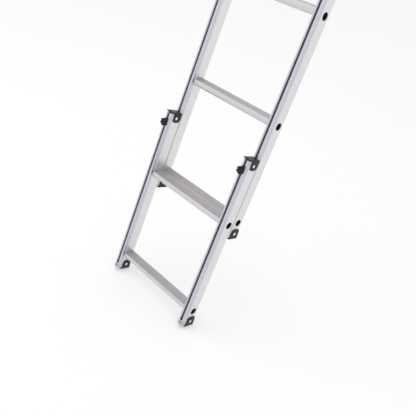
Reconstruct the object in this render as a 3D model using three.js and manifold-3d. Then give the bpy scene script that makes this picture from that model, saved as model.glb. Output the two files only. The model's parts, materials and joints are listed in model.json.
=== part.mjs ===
// Attic ladder: a main section, and a lower section that slides along its front to set the
// height and is clamped to it by two star knobs.
// Millimetres. X runs across the ladder, Y from the climber's side to the back, Z up. The
// ladder leans back as it does in use, so that its treads are level. The origin is on the
// floor, in the middle of the ladder's width and depth. The sections are drawn upright, with
// Z along the stiles and their front face at Y = 0, and the whole ladder is then leaned back.

import * as THREE from 'three';
import { mergeVertices } from 'three/addons/utils/BufferGeometryUtils.js';
import Module from 'manifold-3d';

const wasm = await Module();
wasm.setup();

// ---- Driving dimensions ----------------------------------------------------------------

const STILE_SPACING = 298; // between the two stiles' centre lines
const TREAD_PITCH = 280;
const LEAN = THREE.MathUtils.degToRad(12.5); // of the stiles from upright when the treads are level
const NEST_DEPTH = 37; // from the lower section's front face to the main section's
const MAIN_LIFT = 285; // from the lower section's feet to the main section's
const LOWER_TREADS = 2;
const MAIN_TREADS = 3;
const FIRST_TREAD_RISE = 59.3; // from a section's feet to its first tread's front edge
const TOP_REACH = 176.8; // from the last tread's front edge to the stile's end
const GAP = 0.3; // between pieces that touch
const CUT = 1; // how far a cutting shape runs past what it cuts

// Stile extrusion: a narrow nose with a T-slot in front of a wider hollow body, with a
// channel in the back that straddles the nose of the section behind. At the foot the slot's
// lips are closed, but for a slit that the end plug's catch shows in, and the nose reaches
// down in front of the foot bracket.
const NOSE_HALF = 8.85;
const NOSE_DEPTH = 9;
const BODY_HALF = 10.8;
const STILE_DEPTH = 42.2;
const SIDE_WALL = 1.8; // beside the hollow
const CHANNEL_WALL = 1.5; // beside the channel in the back
const WEB = 1.6;
const CORNER = 0.6;
const SLOT_HALF = 3.2;
const SLOT_LIP = 1.8;
const SLOT_ROOM_HALF = 6.8;
const SLOT_FLOOR = 6.4;
const SLOT_START = 16.5; // these four are heights from the section's feet
const SLIT_TOP = 11.2;
const SLIT_FOOT = 8.4;
const NOSE_FOOT = 0.6;
const CHANNEL_FLOOR = 36.4;
const HOLLOW_NOSE_HALF = 5.6;

// Tread extrusion
const TREAD_SETBACK = 4.5; // from the stile's front face to the tread's front edge
const TREAD_DEPTH = 31;
const TREAD_HEIGHT = 20;
const TREAD_WALL = 1.6;
const TREAD_NOSE_RADIUS = 10; // under the front edge
const TREAD_EDGE_RADIUS = 1.2;
const GROOVE_COUNT = 8;
const GROOVE_PITCH = 3.2;
const GROOVE_WIDTH = 1.5;
const GROOVE_DEPTH = 0.8;
const FIRST_GROOVE = 3.8;
const PORT_REACH = 18.6; // screw port, from the tread's front edge
const PORT_DROP = 14.4; // screw port, below the tread's top
const PORT_WALL_RADIUS = 4.8;
const PORT_HOLE_RADIUS = 2.8;
const PORT_RIB_HALF = 1.8;

// Tread bolt and the cap in its access hole
const BOLT_RADIUS = 2.5;
const BOLT_HEAD_RADIUS = 4.5;
const BOLT_HEAD = 3.6;
const BOLT_GRIP = 22; // inside the tread
const CAP_RADIUS = 9.9;
const CAP_SUNK = 0.8; // its face, below the stile's side
const CAP_DISC = 0.9;
const CAP_BARREL_RADIUS = 8.7;
const CAP_BARREL = 3.5;
const CAP_HOLE_DEPTH = 2;

// End bracket: a plate across the stile's end with an ear along each side. It is described
// as it stands at the foot, and the one at the top is the same piece turned over.
const BRACKET_HEIGHT = 29.3;
const BRACKET_PLATE = 3.5;
const BRACKET_EAR = 2.7;
const BRACKET_FRONT_CORNER = 11;
const BRACKET_BACK_CORNER = 5;
const BRACKET_TAPER = 2; // of an ear's back edge, over its height
const BRACKET_BEND = 2.2;
// Depths of each bracket, the top one as it is before it is turned over. Its notch clears the next stile's nose.
const FOOT_BRACKET = { front: 10.8, depth: 32.3, earStart: 3.3, earEnd: 32.3, notch: 0, rivet: 14.4 };
const TOP_BRACKET = { front: 4.4, depth: 35, earStart: 0, earEnd: 26, notch: 2.7, rivet: 17.1 };
const TOP_BRACKET_CLEARANCE = 1.8; // from the stile's top end to the plate
const RIVET_RISE = 16.6; // from the outside of the bracket's plate
const RIVET_RADIUS = 2;
const RIVET_HEAD_RADIUS = 4.2;
const RIVET_HEAD = 1.9;
const RIVET_DOME_RADIUS = 3.6; // where the head's rim turns into its dome
const RIVET_RIM = 1.1;

// End plug in the foot of the T-slot
const PLUG_TOP = 15.5; // from the section's feet
const PLUG_CATCH_FRONT = 0.5;

// Clamp: star knob, washer, stud and the nut in the main section's T-slot
const KNOB_DROP = 27.6; // from the lower stile's top end to the knob's axis
const KNOB_LOBES = 6;
const KNOB_RADIUS = 11.3;
const KNOB_LOBE_DEPTH = 2.4;
const KNOB_HEAD = 9;
const KNOB_BEVEL = 1.2;
const KNOB_NECK_RADIUS = 6.8;
const KNOB_NECK = 1;
const KNOB_BORE = 7.5;
const WASHER_RADIUS = 7.6;
const WASHER = 1;
const STUD_RADIUS = 2.8;
const NUT_HALF = 6.5;
const NUT_LENGTH = 20;
const NUT_INSET = 0.3;

// Segments round a full circle, and three.js's steps for an arc
const CAP_SIDES = 16;
const HOLE_SIDES = 12;
const SMALL_SIDES = 10;
const KNOB_SIDES = 36;
const ARC_STEPS = 2;

// ---- Sizes that follow -----------------------------------------------------------------

const BODY_FOOT = BRACKET_PLATE + GAP; // of the stile's body, behind its nose
const STILE_X = STILE_SPACING / 2;
const TREAD_SPAN = STILE_SPACING - 2 * (BODY_HALF + GAP);
const HOLLOW_HALF = BODY_HALF - SIDE_WALL;
const CHANNEL_HALF = BODY_HALF - CHANNEL_WALL;
const HOLLOW_FRONT = SLOT_FLOOR + WEB;
const HOLLOW_SHOULDER = HOLLOW_FRONT + HOLLOW_HALF - HOLLOW_NOSE_HALF;
const HOLLOW_BACK = CHANNEL_FLOOR - WEB;
const EAR_OUTER_HALF = BODY_HALF + GAP + BRACKET_EAR;
const STUD_HOLE_RADIUS = SLOT_HALF;
const BOLT_HOLE_RADIUS = BOLT_RADIUS + GAP;
const RIVET_HOLE_RADIUS = RIVET_RADIUS + GAP;
const CAP_HOLE_RADIUS = CAP_RADIUS + GAP;
const KNOB_BACK = -(GAP + WASHER + GAP);
const NUT_FRONT = NEST_DEPTH + SLOT_LIP + NUT_INSET;
const NUT_BACK = NEST_DEPTH + SLOT_FLOOR - NUT_INSET;
const SIDES = [['left', -1], ['right', 1]];

const bolt = {
  y: TREAD_SETBACK + PORT_REACH * Math.cos(LEAN) + PORT_DROP * Math.sin(LEAN),
  rise: PORT_REACH * Math.sin(LEAN) - PORT_DROP * Math.cos(LEAN),
};

// ---- Materials -------------------------------------------------------------------------

function material(color, roughness, metalness) {
  return new THREE.MeshStandardMaterial({ color, roughness, metalness });
}

const STILE_ALUMINIUM = material(0xd3d6da, 0.38, 0.85);
const TREAD_ALUMINIUM = material(0xc3c0c4, 0.45, 0.85);
const BLACK_PLASTIC = material(0x222326, 0.5, 0);
const CAP_PLASTIC = material(0x161618, 0.55, 0);
const ZINC_STEEL = material(0xd0d2d4, 0.32, 0.95);

// ---- Solid helpers ---------------------------------------------------------------------

function toSolid(geometry) {
  const bare = geometry.clone();
  bare.deleteAttribute('normal');
  bare.deleteAttribute('uv');
  const merged = mergeVertices(bare);
  return new wasm.Manifold(new wasm.Mesh({
    numProp: 3,
    vertProperties: merged.attributes.position.array,
    triVerts: Uint32Array.from(merged.index.array),
  }));
}

function toGeometry(solid) {
  const mesh = solid.getMesh();
  const geometry = new THREE.BufferGeometry();
  geometry.setAttribute('position', new THREE.BufferAttribute(mesh.vertProperties, 3));
  geometry.setIndex(new THREE.BufferAttribute(mesh.triVerts, 1));
  geometry.computeVertexNormals();
  return geometry;
}

function polygon(points) {
  return new THREE.Shape(points.map(([a, b]) => new THREE.Vector2(a, b)));
}

function extrude(shape, depth) {
  return new THREE.ExtrudeGeometry(shape, { depth, bevelEnabled: false, curveSegments: ARC_STEPS });
}

// A (Y, Z) outline swept along X, centred on X = 0.
function extrudeAcross(shape, width) {
  const turn = new THREE.Matrix4().makeBasis(
    new THREE.Vector3(0, 1, 0),
    new THREE.Vector3(0, 0, 1),
    new THREE.Vector3(1, 0, 0),
  );
  return extrude(shape, width).applyMatrix4(turn).translate(-width / 2, 0, 0);
}

// An (X, Z) outline swept along Y from its back face to the front.
function extrudeForward(shape, depth, back) {
  return extrude(shape, depth).rotateX(Math.PI / 2).translate(0, back, 0);
}

function box(low, high) {
  const size = high.map((value, axis) => value - low[axis]);
  const middle = high.map((value, axis) => (value + low[axis]) / 2);
  return new THREE.BoxGeometry(...size).translate(...middle);
}

function rodAcross(radius, from, to, y, z, sides) {
  const rod = new THREE.CylinderGeometry(radius, radius, to - from, sides);
  return rod.rotateZ(Math.PI / 2).translate((from + to) / 2, y, z);
}

function rodAlongDepth(radius, from, to, sides) {
  return new THREE.CylinderGeometry(radius, radius, to - from, sides).translate(0, (from + to) / 2, 0);
}

// A closed (radius, height) profile turned about X. Height runs towards +X.
function turnAcross(profile, sides) {
  const points = profile.map(([radius, height]) => new THREE.Vector2(radius, height));
  return new THREE.LatheGeometry(points, sides).rotateZ(-Math.PI / 2);
}

function place(group, name, geometry, finish, position = [0, 0, 0], side = 1) {
  const mesh = new THREE.Mesh(geometry, finish);
  mesh.name = name;
  mesh.position.set(...position);
  mesh.rotation.z = side < 0 ? Math.PI : 0;
  group.add(mesh);
}

// ---- Stile -----------------------------------------------------------------------------

function mirrored(half) {
  const other = half.map(([x, y]) => [-x, y]).reverse();
  return [...half, ...other];
}

function stileProfile() {
  const profile = polygon(mirrored([
    [SLOT_ROOM_HALF, SLOT_FLOOR],
    [SLOT_ROOM_HALF, SLOT_LIP],
    [SLOT_HALF, SLOT_LIP],
    [SLOT_HALF, 0],
    [NOSE_HALF - CORNER, 0],
    [NOSE_HALF, CORNER],
    [NOSE_HALF, NOSE_DEPTH],
    [BODY_HALF - CORNER, NOSE_DEPTH],
    [BODY_HALF, NOSE_DEPTH + CORNER],
    [BODY_HALF, STILE_DEPTH - CORNER],
    [BODY_HALF - CORNER, STILE_DEPTH],
    [CHANNEL_HALF, STILE_DEPTH],
    [CHANNEL_HALF, CHANNEL_FLOOR],
  ]));
  profile.holes.push(polygon(mirrored([
    [HOLLOW_NOSE_HALF, HOLLOW_FRONT],
    [HOLLOW_HALF, HOLLOW_SHOULDER],
    [HOLLOW_HALF, HOLLOW_BACK],
  ])));
  return profile;
}

// The right stile of a section, along Z, with its outer face towards +X.
function stile(section, hasStud) {
  const tube = extrude(stileProfile(), section.stileTop - NOSE_FOOT).translate(0, 0, NOSE_FOOT);
  const outside = BODY_HALF + CUT;
  const roomHalf = SLOT_ROOM_HALF;
  const closedLips = box([-roomHalf, 0, NOSE_FOOT], [roomHalf, SLOT_LIP, SLOT_START]);
  const slit = box([-roomHalf, -CUT, SLIT_FOOT], [roomHalf, SLOT_LIP, SLIT_TOP]);
  const underBody = box([-outside, NOSE_DEPTH, 0], [outside, STILE_DEPTH + CUT, BODY_FOOT]);
  const accessFloor = BODY_HALF - CAP_HOLE_DEPTH;
  let solid = toSolid(tube).add(toSolid(closedLips)).subtract(toSolid(slit)).subtract(toSolid(underBody));
  for (const z of section.boltHeights) {
    const access = rodAcross(CAP_HOLE_RADIUS, accessFloor, outside, bolt.y, z, CAP_SIDES);
    const hole = rodAcross(BOLT_HOLE_RADIUS, -outside, 0, bolt.y, z, HOLE_SIDES);
    solid = solid.subtract(toSolid(access)).subtract(toSolid(hole));
  }
  for (const [y, z] of section.rivetPoints) {
    const hole = rodAcross(RIVET_HOLE_RADIUS, -outside, outside, y, z, HOLE_SIDES);
    solid = solid.subtract(toSolid(hole));
  }
  if (hasStud) {
    const hole = rodAlongDepth(STUD_HOLE_RADIUS, SLOT_LIP, STILE_DEPTH, HOLE_SIDES);
    solid = solid.subtract(toSolid(hole.translate(0, 0, section.knobHeight)));
  }
  return toGeometry(solid);
}

// The left stile is the right stile's mirror image.
function mirrorAcross(geometry) {
  const copy = geometry.clone().scale(-1, 1, 1);
  const index = copy.index.array;
  for (let i = 0; i < index.length; i += 3) {
    [index[i], index[i + 1]] = [index[i + 1], index[i]];
  }
  copy.computeVertexNormals();
  return copy;
}

// ---- Tread -----------------------------------------------------------------------------

// Outline in (depth, height) with the top of the front edge at the origin.
function treadProfile() {
  const outline = new THREE.Shape();
  outline.moveTo(TREAD_DEPTH, -TREAD_HEIGHT);
  outline.lineTo(TREAD_DEPTH, 0);
  for (let i = GROOVE_COUNT - 1; i >= 0; i -= 1) {
    const near = FIRST_GROOVE + i * GROOVE_PITCH;
    outline.lineTo(near + GROOVE_WIDTH, 0);
    outline.lineTo(near + GROOVE_WIDTH, -GROOVE_DEPTH);
    outline.lineTo(near, -GROOVE_DEPTH);
    outline.lineTo(near, 0);
  }
  const edge = TREAD_EDGE_RADIUS;
  const nose = TREAD_NOSE_RADIUS;
  outline.absarc(edge, -edge, edge, Math.PI / 2, Math.PI, false);
  outline.absarc(nose, nose - TREAD_HEIGHT, nose, Math.PI, 1.5 * Math.PI, false);
  return outline;
}

function roundHole(x, y, radius) {
  const points = [];
  for (let i = 0; i < SMALL_SIDES; i += 1) {
    const angle = (2 * Math.PI * i) / SMALL_SIDES;
    points.push([x + radius * Math.cos(angle), y + radius * Math.sin(angle)]);
  }
  return polygon(points);
}

const treadHollow = {
  top: -(GROOVE_DEPTH + TREAD_WALL),
  bottom: TREAD_WALL - TREAD_HEIGHT,
  ribAngle: Math.acos(PORT_RIB_HALF / PORT_WALL_RADIUS),
  floorAngle: Math.asin((TREAD_WALL - TREAD_HEIGHT + PORT_DROP) / PORT_WALL_RADIUS),
};

// Hollow between the nose and the screw port's round wall.
function frontHollow() {
  const { top, ribAngle, floorAngle } = treadHollow;
  const nose = TREAD_NOSE_RADIUS;
  const hollow = new THREE.Path();
  hollow.moveTo(PORT_REACH - PORT_RIB_HALF, top);
  hollow.absarc(PORT_REACH, -PORT_DROP, PORT_WALL_RADIUS, Math.PI - ribAngle, Math.PI - floorAngle, false);
  hollow.absarc(nose, nose - TREAD_HEIGHT, nose - TREAD_WALL, 1.5 * Math.PI, Math.PI, true);
  hollow.lineTo(TREAD_WALL, top);
  return hollow;
}

// Hollow between the screw port's round wall and the back.
function backHollow() {
  const { top, bottom, ribAngle, floorAngle } = treadHollow;
  const hollow = new THREE.Path();
  hollow.moveTo(PORT_REACH + PORT_RIB_HALF, top);
  hollow.absarc(PORT_REACH, -PORT_DROP, PORT_WALL_RADIUS, ribAngle, floorAngle, true);
  hollow.lineTo(TREAD_DEPTH - TREAD_WALL, bottom);
  hollow.lineTo(TREAD_DEPTH - TREAD_WALL, top);
  return hollow;
}

function tread() {
  const profile = treadProfile();
  profile.holes.push(frontHollow(), backHollow());
  profile.holes.push(roundHole(PORT_REACH, -PORT_DROP, PORT_HOLE_RADIUS));
  return extrudeAcross(profile, TREAD_SPAN).rotateX(LEAN);
}

// ---- Tread bolt and cap ----------------------------------------------------------------

// Right-hand bolt: its head bears on the stile's inner wall and it runs into the tread.
function treadBolt() {
  const seat = GAP - HOLLOW_HALF;
  return turnAcross([
    [0, -BODY_HALF - BOLT_GRIP],
    [BOLT_RADIUS, -BODY_HALF - BOLT_GRIP],
    [BOLT_RADIUS, seat],
    [BOLT_HEAD_RADIUS, seat],
    [BOLT_HEAD_RADIUS, seat + BOLT_HEAD],
    [0, seat + BOLT_HEAD],
  ], SMALL_SIDES);
}

// A disc that fills the access hole, and a barrel behind it.
function treadCap() {
  const face = BODY_HALF - CAP_SUNK;
  const back = face - CAP_DISC;
  return turnAcross([
    [0, back - CAP_BARREL],
    [CAP_BARREL_RADIUS, back - CAP_BARREL],
    [CAP_BARREL_RADIUS, back],
    [CAP_RADIUS, back],
    [CAP_RADIUS, face],
    [0, face],
  ], CAP_SIDES);
}

// ---- End bracket, rivet and plug -------------------------------------------------------

// A bracket's side view: the ears' outline, with the plate under it.
function sideOutline({ depth, earStart, earEnd }) {
  const outline = new THREE.Shape();
  const front = BRACKET_FRONT_CORNER;
  const back = BRACKET_BACK_CORNER;
  outline.moveTo(0, 0);
  outline.lineTo(depth, 0);
  outline.lineTo(depth, BRACKET_PLATE);
  if (earEnd < depth) {
    outline.lineTo(earEnd, BRACKET_PLATE);
  }
  outline.absarc(earEnd - BRACKET_TAPER - back, BRACKET_HEIGHT - back, back, 0, Math.PI / 2, false);
  outline.absarc(earStart + front, BRACKET_HEIGHT - front, front, Math.PI / 2, Math.PI, false);
  outline.lineTo(earStart, BRACKET_PLATE);
  if (earStart > 0) {
    outline.lineTo(0, BRACKET_PLATE);
  }
  return outline;
}

// The bend from the plate to the ears, seen from the front.
function bendOutline() {
  const outline = new THREE.Shape();
  const bend = BRACKET_BEND;
  const side = EAR_OUTER_HALF;
  outline.moveTo(side, BRACKET_HEIGHT);
  outline.lineTo(-side, BRACKET_HEIGHT);
  outline.absarc(bend - side, bend, bend, Math.PI, 1.5 * Math.PI, false);
  outline.absarc(side - bend, bend, bend, 1.5 * Math.PI, 2 * Math.PI, false);
  return outline;
}

// Stands with its plate on Z = 0 and its front edge at Y = 0.
function endBracket(shape) {
  const inner = BODY_HALF + GAP;
  const top = BRACKET_HEIGHT + CUT;
  const { depth, notch } = shape;
  const block = toSolid(extrudeAcross(sideOutline(shape), 2 * EAR_OUTER_HALF));
  const bend = toSolid(extrudeForward(bendOutline(), depth, depth));
  const room = toSolid(box([-inner, -CUT, BRACKET_PLATE], [inner, depth + CUT, top]));
  const reach = EAR_OUTER_HALF + CUT;
  const hole = toSolid(rodAcross(RIVET_HOLE_RADIUS, -reach, reach, shape.rivet, RIVET_RISE, HOLE_SIDES));
  const bracket = block.intersect(bend).subtract(room).subtract(hole);
  if (notch === 0) {
    return toGeometry(bracket);
  }
  return toGeometry(bracket.subtract(toSolid(box([-inner, -CUT, -CUT], [inner, notch, top]))));
}

// One rivet holds both ears, with a domed head on each.
function bracketRivet() {
  const seat = EAR_OUTER_HALF + GAP;
  const half = [
    [RIVET_RADIUS, seat],
    [RIVET_HEAD_RADIUS, seat],
    [RIVET_DOME_RADIUS, seat + RIVET_RIM],
    [0, seat + RIVET_HEAD],
  ];
  const other = half.map(([radius, height]) => [radius, -height]).reverse();
  return turnAcross([...other, ...half], SMALL_SIDES);
}

// Fills the foot of the T-slot, with a catch that shows in the slit across the closed lips.
function endPlug() {
  const half = SLOT_ROOM_HALF - GAP;
  const front = SLOT_LIP + GAP;
  const back = SLOT_FLOOR - GAP;
  const block = box([-half, front, NOSE_FOOT], [half, back, PLUG_TOP]);
  const catchBlock = box(
    [-half, PLUG_CATCH_FRONT, SLIT_FOOT + GAP],
    [half, back, SLIT_TOP - GAP],
  );
  return toGeometry(toSolid(block).add(toSolid(catchBlock)));
}

// ---- Clamp -----------------------------------------------------------------------------

// One lobe points up the stile.
function starOutline() {
  const points = [];
  for (let i = 0; i < KNOB_SIDES; i += 1) {
    const angle = (2 * Math.PI * i) / KNOB_SIDES;
    const dip = (KNOB_LOBE_DEPTH * (1 - Math.cos(KNOB_LOBES * (angle - Math.PI / 2)))) / 2;
    const radius = KNOB_RADIUS - KNOB_BEVEL - dip;
    points.push([radius * Math.cos(angle), radius * Math.sin(angle)]);
  }
  return polygon(points);
}

// Axis along Y through the origin, with the stile's front face at Y = 0.
function starKnob() {
  const head = new THREE.ExtrudeGeometry(starOutline(), {
    depth: KNOB_HEAD - 2 * KNOB_BEVEL,
    bevelSize: KNOB_BEVEL,
    bevelThickness: KNOB_BEVEL,
    bevelSegments: 1,
  });
  head.rotateX(Math.PI / 2).translate(0, KNOB_BACK - KNOB_NECK - KNOB_BEVEL, 0);
  const neck = rodAlongDepth(KNOB_NECK_RADIUS, KNOB_BACK - KNOB_NECK - CUT, KNOB_BACK, CAP_SIDES);
  const bore = rodAlongDepth(STUD_RADIUS + GAP, KNOB_BACK - KNOB_BORE, KNOB_BACK + CUT, HOLE_SIDES);
  return toGeometry(toSolid(head).add(toSolid(neck)).subtract(toSolid(bore)));
}

function knobWasher() {
  const disc = rodAlongDepth(WASHER_RADIUS, -GAP - WASHER, -GAP, CAP_SIDES);
  const hole = rodAlongDepth(STUD_RADIUS + GAP, -GAP - WASHER - CUT, CUT, HOLE_SIDES);
  return toGeometry(toSolid(disc).subtract(toSolid(hole)));
}

function knobStud() {
  return rodAlongDepth(STUD_RADIUS, KNOB_BACK - KNOB_BORE + GAP, NUT_BACK, HOLE_SIDES);
}

function slotNut() {
  const length = NUT_LENGTH / 2;
  const block = box([-NUT_HALF, NUT_FRONT, -length], [NUT_HALF, NUT_BACK, length]);
  const hole = rodAlongDepth(STUD_RADIUS + GAP, NUT_FRONT - CUT, NUT_BACK + CUT, HOLE_SIDES);
  return toGeometry(toSolid(block).subtract(toSolid(hole)));
}

// ---- Sections --------------------------------------------------------------------------

// Heights within a section, measured from its feet.
function sectionPlan(treadCount) {
  const treadHeights = Array.from({ length: treadCount }, (_, i) => FIRST_TREAD_RISE + i * TREAD_PITCH);
  const stileTop = treadHeights[treadCount - 1] + TOP_REACH;
  const top = stileTop + TOP_BRACKET_CLEARANCE + BRACKET_PLATE;
  return {
    treadHeights,
    stileTop,
    top,
    boltHeights: treadHeights.map((height) => height + bolt.rise),
    rivetPoints: [
      [FOOT_BRACKET.front + FOOT_BRACKET.rivet, RIVET_RISE],
      [TOP_BRACKET.front + TOP_BRACKET.depth - TOP_BRACKET.rivet, top - RIVET_RISE],
    ],
    knobHeight: stileTop - KNOB_DROP,
  };
}

const footBracketGeometry = endBracket(FOOT_BRACKET);
const topBracketGeometry = endBracket(TOP_BRACKET).rotateX(Math.PI).translate(0, TOP_BRACKET.depth, 0);
const rivetGeometry = bracketRivet();
const plugGeometry = endPlug();
const treadGeometry = tread();
const boltGeometry = treadBolt();
const capGeometry = treadCap();

function addTreads(group, prefix, plan) {
  plan.treadHeights.forEach((height, i) => {
    const name = `${prefix}_tread_${i + 1}`;
    place(group, name, treadGeometry, TREAD_ALUMINIUM, [0, TREAD_SETBACK, height]);
    for (const [side, sign] of SIDES) {
      const at = [sign * STILE_X, bolt.y, plan.boltHeights[i]];
      place(group, `${name}_bolt_${side}`, boltGeometry, ZINC_STEEL, at, sign);
      place(group, `${name}_cap_${side}`, capGeometry, CAP_PLASTIC, at, sign);
    }
  });
}

function addEnds(group, prefix, plan, side, x) {
  const foot = [x, FOOT_BRACKET.front, 0];
  const top = [x, TOP_BRACKET.front, plan.top];
  const plug = [x, 0, 0];
  place(group, `${prefix}_foot_bracket_${side}`, footBracketGeometry, BLACK_PLASTIC, foot);
  place(group, `${prefix}_top_bracket_${side}`, topBracketGeometry, BLACK_PLASTIC, top);
  place(group, `${prefix}_end_plug_${side}`, plugGeometry, CAP_PLASTIC, plug);
  plan.rivetPoints.forEach(([y, z], i) => {
    const end = i === 0 ? 'foot' : 'top';
    place(group, `${prefix}_${end}_rivet_${side}`, rivetGeometry, ZINC_STEEL, [x, y, z]);
  });
}

function buildSection(prefix, treadCount, hasStud) {
  const group = new THREE.Group();
  const plan = sectionPlan(treadCount);
  const rightStile = stile(plan, hasStud);
  const leftStile = mirrorAcross(rightStile);
  place(group, `${prefix}_stile_left`, leftStile, STILE_ALUMINIUM, [-STILE_X, 0, 0]);
  place(group, `${prefix}_stile_right`, rightStile, STILE_ALUMINIUM, [STILE_X, 0, 0]);
  addTreads(group, prefix, plan);
  for (const [side, sign] of SIDES) {
    addEnds(group, prefix, plan, side, sign * STILE_X);
  }
  return group;
}

function buildClamps() {
  const group = new THREE.Group();
  const height = sectionPlan(LOWER_TREADS).knobHeight;
  for (const [side, sign] of SIDES) {
    const at = [sign * STILE_X, 0, height];
    place(group, `clamp_knob_${side}`, starKnob(), BLACK_PLASTIC, at);
    place(group, `clamp_washer_${side}`, knobWasher(), ZINC_STEEL, at);
    place(group, `clamp_stud_${side}`, knobStud(), ZINC_STEEL, at);
    place(group, `clamp_slot_nut_${side}`, slotNut(), ZINC_STEEL, at);
  }
  return group;
}

// Leans the ladder back and stands it on the floor over the origin.
function lean(group) {
  group.rotation.x = -LEAN;
  group.updateMatrixWorld(true);
  const bounds = new THREE.Box3().setFromObject(group, true);
  const middle = bounds.getCenter(new THREE.Vector3());
  group.position.set(-middle.x, -middle.y, -bounds.min.z);
}

const ladder = new THREE.Group();
const lowerSection = buildSection('lower', LOWER_TREADS, true);
const mainSection = buildSection('main', MAIN_TREADS, false);
mainSection.position.set(0, NEST_DEPTH, MAIN_LIFT);
ladder.add(lowerSection, mainSection, buildClamps());
lean(ladder);

export default ladder;
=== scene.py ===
"""Attic ladder: the finely made pieces, finishes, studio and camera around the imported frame.

Lengths inside a piece are in millimetres, and Blender's own units are metres. A piece of a section is
made upright, with Z up the stiles and its front towards -Y, and is then leaned back as the ladder is. The
treads aren't leaned, because they are level. Where a piece goes, and how long it is, comes from the frame.
"""
import json
import math

import bmesh
import bpy
from mathutils import Matrix, Vector
from mathutils.geometry import tessellate_polygon


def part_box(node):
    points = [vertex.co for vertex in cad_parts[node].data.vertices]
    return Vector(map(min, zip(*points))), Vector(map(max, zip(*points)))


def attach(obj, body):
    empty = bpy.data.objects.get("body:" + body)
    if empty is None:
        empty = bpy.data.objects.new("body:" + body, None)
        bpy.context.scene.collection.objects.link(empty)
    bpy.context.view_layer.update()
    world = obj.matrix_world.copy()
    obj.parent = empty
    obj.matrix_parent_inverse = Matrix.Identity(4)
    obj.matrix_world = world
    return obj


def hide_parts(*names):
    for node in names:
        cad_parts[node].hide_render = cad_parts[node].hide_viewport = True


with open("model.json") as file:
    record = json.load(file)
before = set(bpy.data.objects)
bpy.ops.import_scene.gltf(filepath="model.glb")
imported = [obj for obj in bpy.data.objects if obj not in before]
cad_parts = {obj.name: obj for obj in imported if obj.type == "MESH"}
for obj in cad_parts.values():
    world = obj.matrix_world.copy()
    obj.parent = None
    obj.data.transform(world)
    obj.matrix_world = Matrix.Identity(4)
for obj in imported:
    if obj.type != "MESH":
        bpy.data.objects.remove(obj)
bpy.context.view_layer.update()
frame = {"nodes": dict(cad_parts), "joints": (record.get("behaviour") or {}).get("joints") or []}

MM = 0.001

# ---- Sizes of the shapes, in millimetres ------------------------------------------------

# Stile extrusion
NOSE_HALF = 8.85
NOSE_DEPTH = 9
BODY_HALF = 10.8
STILE_DEPTH = 42.2
CHANNEL_HALF = 9.3
CHANNEL_FLOOR = 36.4
HOLLOW_HALF = 9.0
HOLLOW_FRONT = 8.0
HOLLOW_SHOULDER = 11.4
HOLLOW_BACK = 34.8
HOLLOW_NOSE_HALF = 5.6
SLOT_HALF = 3.2
SLOT_LIP = 1.8
SLOT_ROOM_HALF = 6.8
SLOT_FLOOR = 6.4
SLOT_START = 16.5
SLIT_TOP = 11.2
SLIT_FOOT = 8.4
NOSE_FOOT = 0.6
BODY_FOOT = 3.8
NOSE_CORNER = 2.2
BODY_CORNER = 1.0
SLOT_FILLET = 0.5
LIP_EDGE = 0.3
NOSE_FILLET = 0.4
SHOULDER_FILLET = 0.8
HOLLOW_BACK_FILLET = 0.6
CLOSED_LIPS_INSET = 0.15
CLOSED_LIPS_FOOT = 0.1

# Tread extrusion
TREAD_DEPTH = 31
TREAD_HEIGHT = 20
TREAD_WALL = 1.6
TREAD_NOSE_RADIUS = 10
TREAD_EDGE_RADIUS = 1.2
TREAD_CORNER = 0.5
TREAD_FILLET = 0.4
GROOVE_COUNT = 8
GROOVE_PITCH = 3.2
GROOVE_WIDTH = 1.5
GROOVE_DEPTH = 0.8
GROOVE_EDGE = 0.35
GROOVE_FILLET = 0.2
FIRST_GROOVE = 3.8
PORT_REACH = 18.6
PORT_DROP = 14.4
PORT_WALL_RADIUS = 4.8
PORT_HOLE_RADIUS = 2.8
PORT_RIB_HALF = 1.8

# Holes through the stiles
BOLT_HOLE_RADIUS = 2.8
CAP_HOLE_RADIUS = 10.2
CAP_HOLE_DEPTH = 2
RIVET_HOLE_RADIUS = 2.3
STUD_HOLE_RADIUS = 3.1

# Round caps in the tread bolts' access holes
CAP_RADIUS = 9.9
CAP_DISC = 0.9
CAP_BARREL_RADIUS = 8.7
CAP_BARREL_EDGE = 0.5
CAP_BACK_EDGE = 0.2
CAP_FRONT_EDGE = 0.35
CAP_DISH_RADIUS = 8.0
CAP_DISH_DEPTH = 0.4
CAP_DISH_FILLET = 0.5

# End brackets and their rivets
BRACKET_HALF = 13.8
BRACKET_INNER_HALF = 11.1
BRACKET_PLATE = 3.5
BRACKET_FRONT_CORNER = 11
BRACKET_BACK_CORNER = 5
BRACKET_TAPER = 2
BRACKET_BEND = 2.2
BRACKET_FILLET = 0.8
EAR_FILLET = 0.4
BRACKET_EDGE = 0.45
# Where the ears start and stop, from the plate's front edge, before a top bracket is turned over
BRACKET_EARS = {"foot": (3.3, 32.3), "top": (0, 26)}
TOP_BRACKET_NOTCH = 2.7
RIVET_RADIUS = 2
RIVET_HEAD_RADIUS = 4.2
RIVET_HEAD = 1.9
RIVET_RIM = 0.45
RIVET_RIM_EDGE = 0.15

# End plugs
PLUG_HALF = 6.5
PLUG_FRONT = 2.1
PLUG_BACK = 6.1
CATCH_FRONT = 0.5
CATCH_FOOT = 8.7
CATCH_TOP = 10.9
CATCH_BACK = 5.6
PLUG_CORNER = 0.5
CATCH_CORNER = 0.7
PLUG_EDGE = 0.2

# Star knobs and washers
KNOB_LOBES = 6
KNOB_RADIUS = 11.3
KNOB_LOBE_DEPTH = 2.4
KNOB_HEAD = 9
KNOB_NECK_RADIUS = 6.8
KNOB_NECK = 1
KNOB_NECK_EDGE = 0.4
KNOB_EDGE = 1.5
KNOB_WAVE_POWER = 1.3
KNOB_BORE_RADIUS = 3.1
KNOB_BORE = 7.5
KNOB_BORE_EDGE = 0.3
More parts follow.
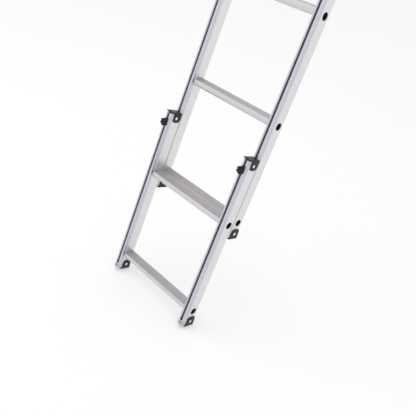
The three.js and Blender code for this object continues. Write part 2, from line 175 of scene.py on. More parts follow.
# (radius, depth) rings of the dish in the knob's front
KNOB_DISH = ((6.2, 0), (5.9, 0.1), (5.5, 0.6), (5.1, 0.7), (2.5, 0.75))
KNOB_SIDES = 96
WASHER_HOLE_RADIUS = 3.1
WASHER_EDGE = 0.3
WASHER_HOLE_EDGE = 0.2

# Camera: from the inner front edge of the lower right stile's top end, along the upright ladder
CAMERA_OFFSET = (763.85, -1143.04, 361.03)
CAMERA_ANGLES = (58.6186, -11.3351, 45.7319)
CAMERA_LENS = 48.806
CAMERA_SENSOR = 36

# Cutters reach past what they cut, and shapes that are joined lap over each other
PAST = 1
LAP = 0.05

ROUND_SIDES = 48
SMALL_SIDES = 32
ARC_STEPS = 12
SHARP_ANGLE = 32
SEED_STEP = 0.731
SIDES = (("left", -1), ("right", 1))
TREADS = {"lower": 2, "main": 3}

# ---- The ladder's lean ------------------------------------------------------------------

slide = next(joint for joint in frame["joints"] if joint["name"] == "section_slide")
up = Vector(slide["axis"])
LEANED = Matrix.Rotation(-math.atan2(up.y, up.z), 4, "X")
UPRIGHT = LEANED.inverted()


def upright_box(node):
    """(lowest corner, highest corner) of a CAD node with the ladder stood upright, in millimetres."""
    points = [UPRIGHT @ vertex.co / MM for vertex in frame["nodes"][node].data.vertices]
    low = Vector([min(point[axis] for point in points) for axis in range(3)])
    high = Vector([max(point[axis] for point in points) for axis in range(3)])
    return low, high


def upright_middle(node):
    low, high = upright_box(node)
    return (low + high) / 2


# ---- Outlines ---------------------------------------------------------------------------


def rounded(corners, steps=5):
    """The points round (a, b, radius) corners, with an arc of that radius at each one."""
    outline = []
    for i, (a, b, radius) in enumerate(corners):
        corner = Vector((a, b))
        if radius == 0:
            outline.append(corner)
            continue
        before = (Vector(corners[i - 1][:2]) - corner).normalized()
        after = (Vector(corners[(i + 1) % len(corners)][:2]) - corner).normalized()
        half = before.angle(after) / 2
        centre = corner + (before + after).normalized() * radius / math.sin(half)
        start = corner + before * radius / math.tan(half) - centre
        end = corner + after * radius / math.tan(half) - centre
        first = math.atan2(start.y, start.x)
        turn = math.remainder(math.atan2(end.y, end.x) - first, math.tau)
        for step in range(steps + 1):
            angle = first + turn * step / steps
            outline.append(centre + radius * Vector((math.cos(angle), math.sin(angle))))
    return outline


def mirrored(half):
    """(a, b, radius) corners of the right half, followed by their mirror image in a = 0."""
    return [*half, *((-a, b, radius) for a, b, radius in reversed(half))]


def circle(a, b, radius, sides):
    angles = [math.tau * i / sides for i in range(sides)]
    return [Vector((a + radius * math.cos(t), b + radius * math.sin(t))) for t in angles]


def rectangle(low_a, low_b, high_a, high_b):
    return [Vector(corner) for corner in ((low_a, low_b), (high_a, low_b), (high_a, high_b), (low_a, high_b))]


# ---- Meshes -----------------------------------------------------------------------------

ALONG = {
    "X": lambda a, b, h: (h, a, b),
    "Y": lambda a, b, h: (a, h, b),
    "Z": lambda a, b, h: (a, b, h),
}


def new_piece(name, mesh):
    """Turns a bmesh in millimetres into an object in metres with its faces pointing out."""
    bmesh.ops.recalc_face_normals(mesh, faces=mesh.faces)
    bmesh.ops.scale(mesh, vec=(MM, MM, MM), verts=mesh.verts)
    data = bpy.data.meshes.new(name)
    mesh.to_mesh(data)
    mesh.free()
    piece = bpy.data.objects.new(name, data)
    bpy.context.scene.collection.objects.link(piece)
    return piece


def add_prism(mesh, outlines, low, high, axis):
    """A closed prism along an axis. The first outline is its outside, and the others are holes."""
    place = ALONG[axis]
    ends = []
    for h in (low, high):
        ends.append([[mesh.verts.new(place(p.x, p.y, h)) for p in outline] for outline in outlines])
    for first, last in zip(*ends):
        for i in range(len(first)):
            mesh.faces.new((first[i - 1], first[i], last[i], last[i - 1]))
    for loops in ends:
        if len(loops) == 1:
            mesh.faces.new(loops[0])
            continue
        corners = [vertex for loop in loops for vertex in loop]
        flat = [[Vector((p.x, p.y, 0)) for p in outline] for outline in outlines]
        for triangle in tessellate_polygon(flat):
            mesh.faces.new([corners[i] for i in triangle])


def prism(name, outlines, low, high, axis):
    mesh = bmesh.new()
    add_prism(mesh, outlines, low, high, axis)
    return new_piece(name, mesh)


def skin_rings(mesh, rings):
    """Quads between rings of vertices. A ring of one vertex closes the surface with a fan."""
    for ring, following in zip(rings, rings[1:]):
        for i in range(max(len(ring), len(following))):
            corners = []
            for loop, at in ((ring, i - 1), (ring, i), (following, i), (following, i - 1)):
                vertex = loop[at] if len(loop) > 1 else loop[0]
                if vertex not in corners:
                    corners.append(vertex)
            mesh.faces.new(corners)


def turned(name, profile, sides, axis):
    """A (radius, height) profile turned about an axis. It closes on itself, or ends on the axis."""
    place = ALONG[axis]
    mesh = bmesh.new()
    rings = []
    for radius, height in profile:
        if radius < 1e-6:
            rings.append([mesh.verts.new(place(0, 0, height))])
        else:
            rings.append([mesh.verts.new(place(p.x, p.y, height)) for p in circle(0, 0, radius, sides)])
    if len(rings[0]) > 1:
        rings.append(rings[0])
    skin_rings(mesh, rings)
    return new_piece(name, mesh)


def applied(piece):
    """Makes what the piece's modifiers give its mesh."""
    result = bpy.data.meshes.new_from_object(piece.evaluated_get(bpy.context.evaluated_depsgraph_get()))
    result.name = piece.name
    piece.modifiers.clear()
    piece.data = result


def carve(piece, tool, operation="DIFFERENCE"):
    boolean = piece.modifiers.new("carve", "BOOLEAN")
    boolean.operation = operation
    boolean.solver = "EXACT"
    boolean.object = tool
    applied(piece)
    bpy.data.objects.remove(tool)


def soften(piece, width, segments=3, angle=40):
    """Rounds the piece's sharp edges."""
    bevel = piece.modifiers.new("soften", "BEVEL")
    bevel.width = width * MM
    bevel.segments = segments
    bevel.limit_method = "ANGLE"
    bevel.angle_limit = math.radians(angle)
    bevel.use_clamp_overlap = True
    applied(piece)


def settle(piece, node, body, finish, at, turn=0.0, leaned=True):
    """Shades, places and finishes a piece that stands for a CAD node of the same shape."""
    for face in piece.data.polygons:
        face.use_smooth = True
    piece.data.set_sharp_from_angle(angle=math.radians(SHARP_ANGLE))
    even = piece.modifiers.new("even shading", "WEIGHTED_NORMAL")
    even.keep_sharp = True
    seed = piece.data.attributes.new("seed", "FLOAT", "POINT")
    seed.data.foreach_set("value", [SEEDS[node]] * len(piece.data.vertices))
    place = Matrix.Translation(at * MM) @ Matrix.Rotation(turn, 4, "Z")
    piece.matrix_world = LEANED @ place if leaned else place
    piece.data.materials.clear()
    piece.data.materials.append(finish)
    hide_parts(node)
    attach(piece, body)


# Each piece's own place in the grain, so that no two alike pieces have the same marks.
SEEDS = {node: i * SEED_STEP for i, node in enumerate(sorted(frame["nodes"]))}

# ---- Finishes ---------------------------------------------------------------------------

# How much painted shade darkens a stile's nose front, from 0 to 1, how deep that shade reaches into the
# stile, and how much of a tread top's painted shade is left at its back
NOSE_PAINTED_SHADE = 0.7
NOSE_PAINTED_SHADE_DEPTH = 13
TREAD_BACK_SHADE_SHARE = 0.75
# Roughness of the satin aluminium
SATIN = 0.42


class Finish:
    """A node material under construction, round one Principled shader."""

    def __init__(self, name):
        self.material = bpy.data.materials.new(name)
        self.material.use_nodes = True
        self.tree = self.material.node_tree
        self.shader = self.tree.nodes["Principled BSDF"]

    def node(self, kind, **settings):
        node = self.tree.nodes.new(kind)
        for name, value in settings.items():
            setattr(node, name, value)
        return node

    def link(self, source, target):
        self.tree.links.new(source, target)

    def coordinates(self, scale):
        """Coordinates within the piece, in metres times scale, shifted by the piece's own seed."""
        place = self.node("ShaderNodeTexCoord")
        seed = self.node("ShaderNodeAttribute", attribute_name="seed")
        shift = self.node("ShaderNodeVectorMath", operation="ADD")
        self.link(place.outputs["Object"], shift.inputs[0])
        self.link(seed.outputs["Fac"], shift.inputs[1])
        stretch = self.node("ShaderNodeVectorMath", operation="MULTIPLY")
        stretch.inputs[1].default_value = scale
        self.link(shift.outputs[0], stretch.inputs[0])
        return stretch.outputs[0]

    def noise(self, scale, detail=3.0, roughness=0.6):
        noise = self.node("ShaderNodeTexNoise")
        noise.inputs["Scale"].default_value = 1.0
        noise.inputs["Detail"].default_value = detail
        noise.inputs["Roughness"].default_value = roughness
        self.link(self.coordinates(scale), noise.inputs["Vector"])
        return noise.outputs["Fac"]

    def ramp(self, value, low, high, from_low=0.3, from_high=0.7):
        """Maps a value from one range of numbers to another, and keeps within it."""
        ramp = self.node("ShaderNodeMapRange")
        ramp.inputs["From Min"].default_value = from_low
        ramp.inputs["From Max"].default_value = from_high
        ramp.inputs["To Min"].default_value = low
        ramp.inputs["To Max"].default_value = high
        self.link(value, ramp.inputs["Value"])
        return ramp.outputs["Result"]

    def blend(self, value, first, second):
        """Mixes two colours by a value."""
        mix = self.node("ShaderNodeMix", data_type="RGBA")
        self.link(value, mix.inputs["Factor"])
        for socket, colour in ((mix.inputs["A"], first), (mix.inputs["B"], second)):
            if isinstance(colour, tuple):
                socket.default_value = (*colour, 1)
            else:
                self.link(colour, socket)
        return mix.outputs["Result"]

    def reach(self, axis):
        """The distance along one of the piece's own axes, in millimetres."""
        place = self.node("ShaderNodeTexCoord")
        split = self.node("ShaderNodeSeparateXYZ")
        self.link(place.outputs["Object"], split.inputs[0])
        return self.combine("MULTIPLY", split.outputs[axis], 1 / MM)

    def combine(self, operation, *values):
        """Numbers or outputs put through one of the math node's operations."""
        math_node = self.node("ShaderNodeMath", operation=operation)
        for socket, value in zip(math_node.inputs, values):
            if isinstance(value, (int, float)):
                socket.default_value = value
            else:
                self.link(value, socket)
        return math_node.outputs[0]

    def bump(self, height, distance, strength):
        bump = self.node("ShaderNodeBump")
        bump.inputs["Distance"].default_value = distance * MM
        bump.inputs["Strength"].default_value = strength
        self.link(height, bump.inputs["Height"])
        self.link(bump.outputs["Normal"], self.shader.inputs["Normal"])


def stretched(along, fine, coarse):
    """Noise scale per metre: coarse along the extrusion and fine across it."""
    return tuple(coarse if axis == along else fine for axis in "XYZ")


def painted_nose_and_slot_shade(finish):
    """Where painted shade darkens a stile: the front of its nose, fading out deeper into the stile, and the
    inside of its T-slot.
    """
    depth = finish.reach("Y")
    across = finish.combine("ABSOLUTE", finish.reach("X"))
    # Painted shade: darkest on the nose's front, fading out deeper into the stile
    nose = finish.ramp(depth, NOSE_PAINTED_SHADE, 0.0, 0.0, NOSE_PAINTED_SHADE_DEPTH)
    # Painted shade inside the T-slot, between its lips and its web
    behind_face = finish.ramp(depth, 0.0, 1.0, 0.3, 1.0)
    before_web = finish.ramp(depth, 1.0, 0.0, SLOT_FLOOR + 0.1, SLOT_FLOOR + 0.5)
    in_room = finish.ramp(across, 1.0, 0.0, SLOT_ROOM_HALF + 0.1, SLOT_ROOM_HALF + 0.3)
    slot = finish.combine("MULTIPLY", finish.combine("MULTIPLY", behind_face, before_web), in_room)
    return finish.combine("MAXIMUM", nose, slot)


def painted_tread_top_shade(finish):
    """Where painted shade darkens a tread: its grooved top, a little less towards the back, and not its front
    edge.
    """
    height = finish.reach("Z")
    depth = finish.reach("Y")
    # Painted shade on the grooved top, none on the front edge, easing towards the back
    top = finish.ramp(height, 0.0, 1.0, -GROOVE_DEPTH - 0.5, -GROOVE_DEPTH - 0.1)
    behind_edge = finish.ramp(depth, 0.0, 1.0, 0.4, 1.4)
    towards_back = finish.ramp(depth, 1.0, TREAD_BACK_SHADE_SHARE, FIRST_GROOVE, TREAD_DEPTH)
    return finish.combine("MULTIPLY", finish.combine("MULTIPLY", top, behind_edge), towards_back)


def aluminium(name, along, light, dark, painted_shade_mask, painted_shade_colour):
    """Satin extrusion: fine die lines along it, soft cloudiness, rubbed streaks, and painted shade where the
    mask darkens it.
    """
    finish = Finish(name)
    lines = finish.noise(stretched(along, 2600, 6), detail=2)
    bands = finish.noise(stretched(along, 260, 2.5), detail=3)
    cloud = finish.noise((22, 22, 22), detail=4)
    rubs = finish.noise(stretched(along, 900, 45), detail=2, roughness=0.4)
    shade = finish.combine("ADD", finish.ramp(bands, 0.0, 0.55), finish.ramp(cloud, 0.0, 0.45))
    clean = finish.blend(shade, dark, light)
    # Painted shade: the mask blends the clean colour towards the painted shade colour
    finish.link(finish.blend(painted_shade_mask(finish), clean, painted_shade_colour), finish.shader.inputs["Base Color"])
    satin = finish.ramp(lines, SATIN - 0.05, SATIN + 0.05)
    rubbed = finish.combine("ADD", satin, finish.ramp(rubs, 0.0, -0.07, 0.62, 0.75))
    finish.link(rubbed, finish.shader.inputs["Roughness"])
    finish.shader.inputs["Metallic"].default_value = 1.0
    height = finish.combine("ADD", lines, finish.combine("MULTIPLY", bands, 0.6))
    finish.bump(height, distance=0.03, strength=0.35)
    return finish.material


def moulded_plastic(name, dark, light, roughness, gloss):
    """Black moulded plastic with a fine spark-eroded grain and paler rubbed patches."""
    finish = Finish(name)
    pits = finish.noise((2400, 2400, 2400), detail=2)
    patches = finish.noise((120, 120, 120), detail=4)
    colour = finish.blend(finish.ramp(patches, 0.0, 1.0), dark, light)
    finish.link(colour, finish.shader.inputs["Base Color"])
    finish.link(finish.ramp(patches, roughness + 0.08, roughness - 0.08), finish.shader.inputs["Roughness"])
    finish.shader.inputs["Metallic"].default_value = 0.0
    finish.shader.inputs["Specular IOR Level"].default_value = gloss
    finish.bump(pits, distance=0.05, strength=0.5)
    return finish.material


def zinc_steel(name, light, dark, roughness):
    """Bright zinc plate with a faint crystalline mottle."""
    finish = Finish(name)
    crystals = finish.node("ShaderNodeTexVoronoi")
    crystals.inputs["Scale"].default_value = 1.0
    finish.link(finish.coordinates((900, 900, 900)), crystals.inputs["Vector"])
    mottle = finish.ramp(crystals.outputs["Distance"], 0.0, 1.0, 0.0, 0.9)
    finish.link(finish.blend(mottle, light, dark), finish.shader.inputs["Base Color"])
    finish.link(finish.ramp(mottle, roughness, roughness + 0.14, 0, 1), finish.shader.inputs["Roughness"])
    finish.shader.inputs["Metallic"].default_value = 1.0
    finish.bump(finish.noise((1800, 1800, 1800), detail=2), distance=0.02, strength=0.3)
    return finish.material


# The stiles' colour holds painted shade on the nose's front and inside the T-slot
STILE_FINISH = aluminium(
    "stile_aluminium", "Z", (0.75, 0.757, 0.76), (0.70, 0.707, 0.71), painted_nose_and_slot_shade,
    painted_shade_colour=(0.48, 0.48, 0.55))
# The treads' colour holds painted shade on their grooved tops
TREAD_FINISH = aluminium(
    "tread_aluminium", "X", (0.665, 0.66, 0.665), (0.615, 0.61, 0.615), painted_tread_top_shade,
    painted_shade_colour=(0.49, 0.47, 0.485))
BRACKET_FINISH = moulded_plastic(
    "bracket_plastic", (0.015, 0.013, 0.013), (0.026, 0.023, 0.023), roughness=0.48, gloss=0.3)
KNOB_FINISH = moulded_plastic(
    "knob_plastic", (0.010, 0.010, 0.011), (0.018, 0.018, 0.019), roughness=0.5, gloss=0.16)
# The caps are black plastic, made nearly pure black and barely glossy, darker than the other black plastics:
# painted shade of the access holes they sit in
CAP_SHADED_FINISH = moulded_plastic(
    "cap_plastic_painted_shade", (0.001, 0.001, 0.001), (0.003, 0.003, 0.003), roughness=0.6, gloss=0.03)
PLUG_FINISH = moulded_plastic(
    "plug_plastic", (0.010, 0.010, 0.011), (0.020, 0.020, 0.021), roughness=0.5, gloss=0.25)
RIVET_FINISH = zinc_steel("rivet_zinc", (0.86, 0.86, 0.85), (0.74, 0.74, 0.73), roughness=0.28)
STEEL_FINISH = zinc_steel("fastener_zinc", (0.78, 0.78, 0.76), (0.62, 0.62, 0.60), roughness=0.33)

# ---- Stiles -----------------------------------------------------------------------------


def stile_outlines():
    """The extrusion's outside and its hollow, with depths from the nose's face."""
    outside = rounded(mirrored([
        (SLOT_ROOM_HALF, SLOT_FLOOR, SLOT_FILLET),
        (SLOT_ROOM_HALF, SLOT_LIP, LIP_EDGE),
        (SLOT_HALF, SLOT_LIP, LIP_EDGE),
        (SLOT_HALF, 0, SLOT_FILLET),
        (NOSE_HALF, 0, NOSE_CORNER),
        (NOSE_HALF, NOSE_DEPTH, NOSE_FILLET),
        (BODY_HALF, NOSE_DEPTH, BODY_CORNER),
        (BODY_HALF, STILE_DEPTH, BODY_CORNER),
        (CHANNEL_HALF, STILE_DEPTH, LIP_EDGE),
        (CHANNEL_HALF, CHANNEL_FLOOR, SLOT_FILLET),
    ]))
    hollow = rounded(mirrored([
        (HOLLOW_NOSE_HALF, HOLLOW_FRONT, NOSE_FILLET),
        (HOLLOW_HALF, HOLLOW_SHOULDER, SHOULDER_FILLET),
        (HOLLOW_HALF, HOLLOW_BACK, HOLLOW_BACK_FILLET),
    ]))
    return outside, hollow


def drill(piece, holes):
    """Cuts round holes, each given as (axis, a, b, radius, from, to)."""
    mesh = bmesh.new()
    for axis, a, b, radius, low, high in holes:
        add_prism(mesh, [circle(a, b, radius, SMALL_SIDES)], low, high, axis)
    carve(piece, new_piece("drill", mesh))


def shape_foot(piece):
    """Closes the slot's lips but for the end plug's slit, and cuts the body off above the bracket's plate."""
    lips = rectangle(-SLOT_ROOM_HALF, CLOSED_LIPS_INSET, SLOT_ROOM_HALF, SLOT_LIP)
    carve(piece, prism("closed lips", [lips], CLOSED_LIPS_FOOT, SLOT_START - NOSE_FOOT, "Z"), "UNION")
    slit = rectangle(-PAST, SLIT_FOOT - NOSE_FOOT, SLOT_LIP, SLIT_TOP - NOSE_FOOT)
    half = SLOT_ROOM_HALF + LAP
    carve(piece, prism("slit", [slit], -half, half, "X"))
    under_body = rectangle(NOSE_DEPTH - LAP, -PAST, STILE_DEPTH + PAST, BODY_FOOT - NOSE_FOOT)
    carve(piece, prism("under body", [under_body], -BODY_HALF - PAST, BODY_HALF + PAST, "X"))


def make_stile(section, side, sign):
    node = f"{section}_stile_{side}"
    low, high = upright_box(node)
    piece = prism(f"{node}_extrusion", stile_outlines(), 0, high.z - low.z, "Z")
    shape_foot(piece)
    foot = Vector(((low.x + high.x) / 2, low.y, low.z))
    outside = sign * (BODY_HALF + PAST)
    past_middle = -0.01 * sign
    access_floor = sign * (BODY_HALF - CAP_HOLE_DEPTH)
    holes = []
    for i in range(TREADS[section]):
        spot = upright_middle(f"{section}_tread_{i + 1}_cap_{side}") - foot
        holes.append(("X", spot.y, spot.z, CAP_HOLE_RADIUS, access_floor, outside))
        holes.append(("X", spot.y, spot.z, BOLT_HOLE_RADIUS, -outside, past_middle))
    for end in ("foot", "top"):
        spot = upright_middle(f"{section}_{end}_rivet_{side}") - foot
        holes.append(("X", spot.y, spot.z, RIVET_HOLE_RADIUS, -outside, outside))
    if section == "lower":
        spot = upright_middle(f"clamp_stud_{side}") - foot
        holes.append(("Y", spot.x, spot.z, STUD_HOLE_RADIUS, SLOT_LIP, STILE_DEPTH + PAST))
    drill(piece, holes)
    settle(piece, node, section, STILE_FINISH, foot)


# ---- Treads -----------------------------------------------------------------------------


def tread_outlines():
    """(depth, height) outlines, with the top of the front edge at the origin."""
    corners = [(TREAD_DEPTH, -TREAD_HEIGHT, TREAD_CORNER), (TREAD_DEPTH, 0, TREAD_CORNER)]
    for i in reversed(range(GROOVE_COUNT)):
        near = FIRST_GROOVE + i * GROOVE_PITCH
        far = near + GROOVE_WIDTH
        corners += [(far, 0, GROOVE_EDGE), (far, -GROOVE_DEPTH, GROOVE_FILLET)]
        corners += [(near, -GROOVE_DEPTH, GROOVE_FILLET), (near, 0, GROOVE_EDGE)]
    corners += [(0, 0, TREAD_EDGE_RADIUS), (0, -TREAD_HEIGHT, TREAD_NOSE_RADIUS)]
    outlines = [rounded(corners, steps=4)]
    top = -(GROOVE_DEPTH + TREAD_WALL)
    bottom = TREAD_WALL - TREAD_HEIGHT
    rib_angle = math.acos(PORT_RIB_HALF / PORT_WALL_RADIUS)
    floor_angle = math.asin((bottom + PORT_DROP) / PORT_WALL_RADIUS)
    nose = TREAD_NOSE_RADIUS - TREAD_WALL
    back = TREAD_DEPTH - TREAD_WALL
    ends = {
        -1: [(TREAD_WALL, bottom, nose), (TREAD_WALL, top, TREAD_FILLET)],
        1: [(back, bottom, TREAD_CORNER), (back, top, TREAD_CORNER)],
    }
    for direction, end in ends.items():
        hollow = [(PORT_REACH + direction * PORT_RIB_HALF, top, 0)]
        for step in range(ARC_STEPS + 1):
            angle = rib_angle + (floor_angle - rib_angle) * step / ARC_STEPS
            reach = direction * PORT_WALL_RADIUS * math.cos(angle)
            hollow.append((PORT_REACH + reach, PORT_WALL_RADIUS * math.sin(angle) - PORT_DROP, 0))
        outlines.append(rounded(hollow + end, steps=8))
    outlines.append(circle(PORT_REACH, -PORT_DROP, PORT_HOLE_RADIUS, SMALL_SIDES))
    return outlines


def make_tread(section, number):
    node = f"{section}_tread_{number}"
    low, high = (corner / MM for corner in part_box(node))
    half = (high.x - low.x) / 2
    piece = prism(f"{node}_extrusion", tread_outlines(), -half, half, "X")
    at = Vector(((low.x + high.x) / 2, low.y, high.z))
    settle(piece, node, section, TREAD_FINISH, at, leaned=False)


# ---- Caps, rivets and washers -----------------------------------------------------------


def make_cap(section, number, side, sign):
    node = f"{section}_tread_{number}_cap_{side}"
    low, high = upright_box(node)
    face = high.x - low.x
    barrel = face - CAP_DISC
    profile = rounded([
        (0, 0, 0),
        (CAP_BARREL_RADIUS, 0, CAP_BARREL_EDGE),
        (CAP_BARREL_RADIUS, barrel, 0),
        (CAP_RADIUS, barrel, CAP_BACK_EDGE),
        (CAP_RADIUS, face, CAP_FRONT_EDGE),
        (CAP_DISH_RADIUS, face, CAP_DISH_FILLET),
        (CAP_DISH_RADIUS - CAP_DISH_DEPTH, face - CAP_DISH_DEPTH, CAP_DISH_FILLET),
        (0, face - CAP_DISH_DEPTH, 0),
    ], steps=4)
    piece = turned(f"{node}_moulding", profile, ROUND_SIDES, "X")
    middle = (low + high) / 2
    inner = low.x if sign > 0 else high.x
    turn = 0 if sign > 0 else math.pi
    settle(piece, node, section, CAP_SHADED_FINISH, Vector((inner, middle.y, middle.z)), turn)


def make_rivet(section, end, side):
    """A rivet through both ears of a bracket, with a domed head on each."""
    node = f"{section}_{end}_rivet_{side}"
    low, high = upright_box(node)
    seat = (high.x - low.x) / 2 - RIVET_HEAD
    half_chord = RIVET_HEAD_RADIUS - RIVET_RIM
    dome = RIVET_HEAD - RIVET_RIM
    dome_radius = (half_chord ** 2 + dome ** 2) / (2 * dome)
    sweep = math.asin(half_chord / dome_radius)
    steps = 8
    half = [(RIVET_RADIUS, seat), (RIVET_HEAD_RADIUS - RIVET_RIM_EDGE, seat)]
    half.append((RIVET_HEAD_RADIUS, seat + RIVET_RIM_EDGE))
    half.append((RIVET_HEAD_RADIUS, seat + RIVET_RIM - RIVET_RIM_EDGE))
    for step in range(steps + 1):
        angle = sweep * (1 - step / steps)
        half.append((dome_radius * math.sin(angle), seat + RIVET_HEAD - dome_radius * (1 - math.cos(angle))))
    profile = [(radius, -height) for radius, height in reversed(half)] + half
    piece = turned(f"{node}_steel", profile, SMALL_SIDES, "X")
    settle(piece, node, section, RIVET_FINISH, (low + high) / 2)


def make_washer(side):
    node = f"clamp_washer_{side}"
    low, high = upright_box(node)
    radius = (high.x - low.x) / 2
    thickness = high.y - low.y
    profile = rounded([
        (WASHER_HOLE_RADIUS, 0, WASHER_HOLE_EDGE),
        (radius, 0, WASHER_EDGE),
        (radius, thickness, WASHER_EDGE),
        (WASHER_HOLE_RADIUS, thickness, WASHER_HOLE_EDGE),
    ], steps=3)
    piece = turned(f"{node}_steel", profile, ROUND_SIDES, "Y")
    middle = (low + high) / 2
    settle(piece, node, "lower", STEEL_FINISH, Vector((middle.x, low.y, middle.z)))


# ---- Brackets and plugs -----------------------------------------------------------------


def make_bracket(section, end, side):
    """A plate with two ears, made standing on its plate. A top bracket is then turned over."""
    node = f"{section}_{end}_bracket_{side}"
    low, high = upright_box(node)
    depth = high.y - low.y
    height = high.z - low.z
    channel = rounded([
        (BRACKET_HALF, 0, BRACKET_BEND),
        (BRACKET_HALF, height, 0),
        (BRACKET_INNER_HALF, height, 0),
        (BRACKET_INNER_HALF, BRACKET_PLATE, BRACKET_FILLET),
        (-BRACKET_INNER_HALF, BRACKET_PLATE, BRACKET_FILLET),
        (-BRACKET_INNER_HALF, height, 0),
        (-BRACKET_HALF, height, 0),
        (-BRACKET_HALF, 0, BRACKET_BEND),
    ], steps=6)
    piece = prism(f"{node}_moulding", [channel], 0, depth, "Y")
    start, stop = BRACKET_EARS[end]
    side_view = [(0, 0, 0), (depth, 0, 0), (depth, BRACKET_PLATE, 0)]
    if stop < depth:
        side_view.append((stop, BRACKET_PLATE, EAR_FILLET))
    side_view.append((stop - BRACKET_TAPER, height, BRACKET_BACK_CORNER))
    side_view.append((start, height, BRACKET_FRONT_CORNER))
    if start > 0:
        side_view.append((start, BRACKET_PLATE, EAR_FILLET))
        side_view.append((0, BRACKET_PLATE, 0))
    reach = BRACKET_HALF + PAST
    carve(piece, prism("side view", [rounded(side_view, ARC_STEPS)], -reach, reach, "X"), "INTERSECT")
    if end == "top":
        notch = rectangle(-PAST, -PAST, TOP_BRACKET_NOTCH, height + PAST)
        carve(piece, prism("notch", [notch], -BRACKET_INNER_HALF, BRACKET_INNER_HALF, "X"))
    rivet = upright_middle(f"{section}_{end}_rivet_{side}")
    from_corner = rivet - low if end == "foot" else high - rivet
    drill(piece, [("X", from_corner.y, from_corner.z, RIVET_HOLE_RADIUS, -reach, reach)])
    soften(piece, BRACKET_EDGE)
    if end == "top":
        turned_over = Matrix.Translation((0, depth * MM, 0)) @ Matrix.Rotation(math.pi, 4, "X")
        piece.data.transform(turned_over)
    plate = low.z if end == "foot" else high.z
    at = Vector(((low.x + high.x) / 2, low.y, plate))
    settle(piece, node, section, BRACKET_FINISH, at)


def make_plug(section, side):
    """A block in the foot of the T-slot, with a catch that shows in the slit."""
    node = f"{section}_end_plug_{side}"
    low, high = upright_box(node)
    block = rounded(mirrored([(PLUG_HALF, PLUG_FRONT, PLUG_CORNER), (PLUG_HALF, PLUG_BACK, PLUG_CORNER)]))
    piece = prism(f"{node}_moulding", [block], 0, high.z - low.z, "Z")
    inner = PLUG_HALF - LAP
    catch = rounded(mirrored([(inner, CATCH_FRONT, CATCH_CORNER), (inner, CATCH_BACK, 0)]))
    carve(piece, prism("catch", [catch], CATCH_FOOT - NOSE_FOOT, CATCH_TOP - NOSE_FOOT, "Z"), "UNION")
    soften(piece, PLUG_EDGE, segments=2)
    at = Vector(((low.x + high.x) / 2, low.y - CATCH_FRONT, low.z))
    settle(piece, node, section, PLUG_FINISH, at)


# ---- Star knobs -------------------------------------------------------------------------


def knob_ring(mesh, radius, inset, height):
    """A ring of the knob: round where radius is given, and otherwise the star outline drawn in by inset.

    One of the star's lobes points up the stile.
    """
    ring = []
    for i in range(KNOB_SIDES):
        angle = math.tau * i / KNOB_SIDES
        wave = (1 - math.cos(KNOB_LOBES * (angle - math.pi / 2))) / 2
        reach = KNOB_RADIUS - inset - KNOB_LOBE_DEPTH * wave ** KNOB_WAVE_POWER if radius is None else radius
        ring.append(mesh.verts.new((reach * math.cos(angle), height, reach * math.sin(angle))))
    return ring


def make_knob(side):
    """Height runs towards -Y, from the washer's face to the front of the knob."""
    node = f"clamp_knob_{side}"
    low, high = upright_box(node)
    mesh = bmesh.new()
    bore = KNOB_BORE_RADIUS
    neck = KNOB_NECK_RADIUS
    rings = [[mesh.verts.new((0, -KNOB_BORE, 0))], knob_ring(mesh, bore, 0, -KNOB_BORE)]
    rings.append(knob_ring(mesh, bore, 0, -KNOB_BORE_EDGE))
    rings.append(knob_ring(mesh, bore + KNOB_BORE_EDGE, 0, 0))
    rings.append(knob_ring(mesh, neck - KNOB_NECK_EDGE, 0, 0))
    rings.append(knob_ring(mesh, neck, 0, -KNOB_NECK_EDGE))
    rings.append(knob_ring(mesh, neck, 0, -KNOB_NECK))
    back = -KNOB_NECK
    front = -KNOB_NECK - KNOB_HEAD
    steps = 5
    quarter = [math.pi / 2 * step / steps for step in range(steps + 1)]
    for angle in quarter:
        inset = KNOB_EDGE * (1 - math.sin(angle))
        rings.append(knob_ring(mesh, None, inset, back - KNOB_EDGE * (1 - math.cos(angle))))
    for angle in quarter:
        inset = KNOB_EDGE * (1 - math.cos(angle))
        rings.append(knob_ring(mesh, None, inset, front + KNOB_EDGE * (1 - math.sin(angle))))
    for radius, depth in KNOB_DISH:
        rings.append(knob_ring(mesh, radius, 0, front + depth))
    rings.append([mesh.verts.new((0, front + KNOB_DISH[-1][1], 0))])
    skin_rings(mesh, rings)
    piece = new_piece(f"{node}_moulding", mesh)
    middle = (low + high) / 2
    at = Vector((middle.x, high.y, middle.z))
    settle(piece, node, f"knob_{side}", KNOB_FINISH, at)


# ---- The ladder -------------------------------------------------------------------------

for section, tread_count in TREADS.items():
    for number in range(1, tread_count + 1):
        make_tread(section, number)
    for side, sign in SIDES:
        make_stile(section, side, sign)
        make_plug(section, side)
        for number in range(1, tread_count + 1):
            make_cap(section, number, side, sign)
        for end in ("foot", "top"):
            make_bracket(section, end, side)
            make_rivet(section, end, side)

for side, sign in SIDES:
    make_knob(side)
    make_washer(side)

# The bolts, studs and slot nuts stay the CAD's own pieces.
for node in frame["nodes"].values():
    if not node.hide_render:
        node.data.materials.clear()
        node.data.materials.append(STEEL_FINISH)

# ---- Studio -----------------------------------------------------------------------------

# Lengths in metres, the softbox's power in watts, and shades from 0 to 1
FLOOR_REACH = 30
FLOOR_SHADES = ((0.55, 0.55, 0.55), (0.56, 0.56, 0.56))
FLOOR_GLOW = 0.4
SKY_HORIZON = (1.0, 1.0, 1.0, 1)
SKY_MIDDLE = (0.62, 0.60, 0.62, 1)
SKY_MIDDLE_HEIGHT = 0.45
SKY_OVERHEAD = (0.64, 0.63, 0.64, 1)
SKY_STRENGTH = 1.4
SOFTBOX_PLACE = (-0.8, -1.2, 3.2)
SOFTBOX_TARGET = (0, 0, 0.2)
SOFTBOX_SIZE = (3.0, 3.0)
SOFTBOX_POWER = 28


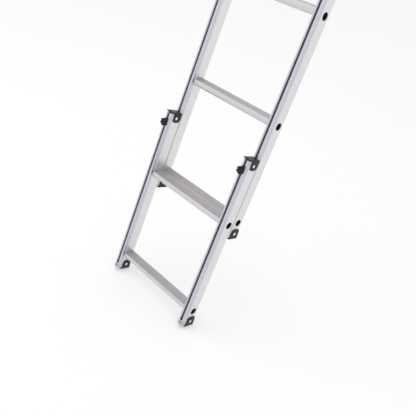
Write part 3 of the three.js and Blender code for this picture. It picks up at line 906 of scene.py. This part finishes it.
def make_floor():
    """A pale floor that glows a little, so that shadows on it stay faint."""
    finish = Finish("studio_floor")
    mottle = finish.noise((3, 3, 3), detail=2)
    finish.link(finish.blend(mottle, *FLOOR_SHADES), finish.shader.inputs["Base Color"])
    finish.shader.inputs["Roughness"].default_value = 0.75
    finish.shader.inputs["Emission Color"].default_value = (1, 1, 1, 1)
    finish.shader.inputs["Emission Strength"].default_value = FLOOR_GLOW
    mesh = bmesh.new()
    reach = FLOOR_REACH / MM
    mesh.faces.new([mesh.verts.new((p.x, p.y, 0)) for p in rectangle(-reach, -reach, reach, reach)])
    floor = new_piece("studio_floor", mesh)
    floor.data.materials.append(finish.material)


def make_sky():
    """A pale room, brightest at the horizon and dimmer overhead."""
    world = bpy.data.worlds.new("studio")
    bpy.context.scene.world = world
    world.use_nodes = True
    nodes, links = world.node_tree.nodes, world.node_tree.links
    place = nodes.new("ShaderNodeTexCoord")
    split = nodes.new("ShaderNodeSeparateXYZ")
    ramp = nodes.new("ShaderNodeValToRGB")
    shades = ramp.color_ramp.elements
    shades[0].position = 0.0
    shades[0].color = SKY_HORIZON
    shades[1].position = 1.0
    shades[1].color = SKY_OVERHEAD
    shades.new(SKY_MIDDLE_HEIGHT).color = SKY_MIDDLE
    links.new(place.outputs["Generated"], split.inputs[0])
    links.new(split.outputs["Z"], ramp.inputs["Fac"])
    links.new(ramp.outputs["Color"], nodes["Background"].inputs["Color"])
    nodes["Background"].inputs["Strength"].default_value = SKY_STRENGTH


def make_softbox():
    light = bpy.data.lights.new("overhead", "AREA")
    light.shape = "RECTANGLE"
    light.size, light.size_y = SOFTBOX_SIZE
    light.energy = SOFTBOX_POWER
    box = bpy.data.objects.new("overhead", light)
    bpy.context.scene.collection.objects.link(box)
    box.location = SOFTBOX_PLACE
    box.rotation_euler = (Vector(SOFTBOX_TARGET) - Vector(SOFTBOX_PLACE)).to_track_quat("-Z", "Y").to_euler()


def make_camera():
    """Looks at the ladder's lower end from its right front, and stands off from a stile's top end."""
    low, high = upright_box("lower_stile_right")
    place = Vector((low.x, low.y, high.z)) + Vector(CAMERA_OFFSET)
    camera = bpy.data.cameras.new("camera")
    camera.lens = CAMERA_LENS
    camera.sensor_width = CAMERA_SENSOR
    holder = bpy.data.objects.new("camera", camera)
    bpy.context.scene.collection.objects.link(holder)
    holder.location = LEANED @ (place * MM)
    holder.rotation_euler = [math.radians(angle) for angle in CAMERA_ANGLES]
    bpy.context.scene.camera = holder


make_floor()
make_sky()
make_softbox()
make_camera()
bpy.context.scene.view_settings.view_transform = "Standard"
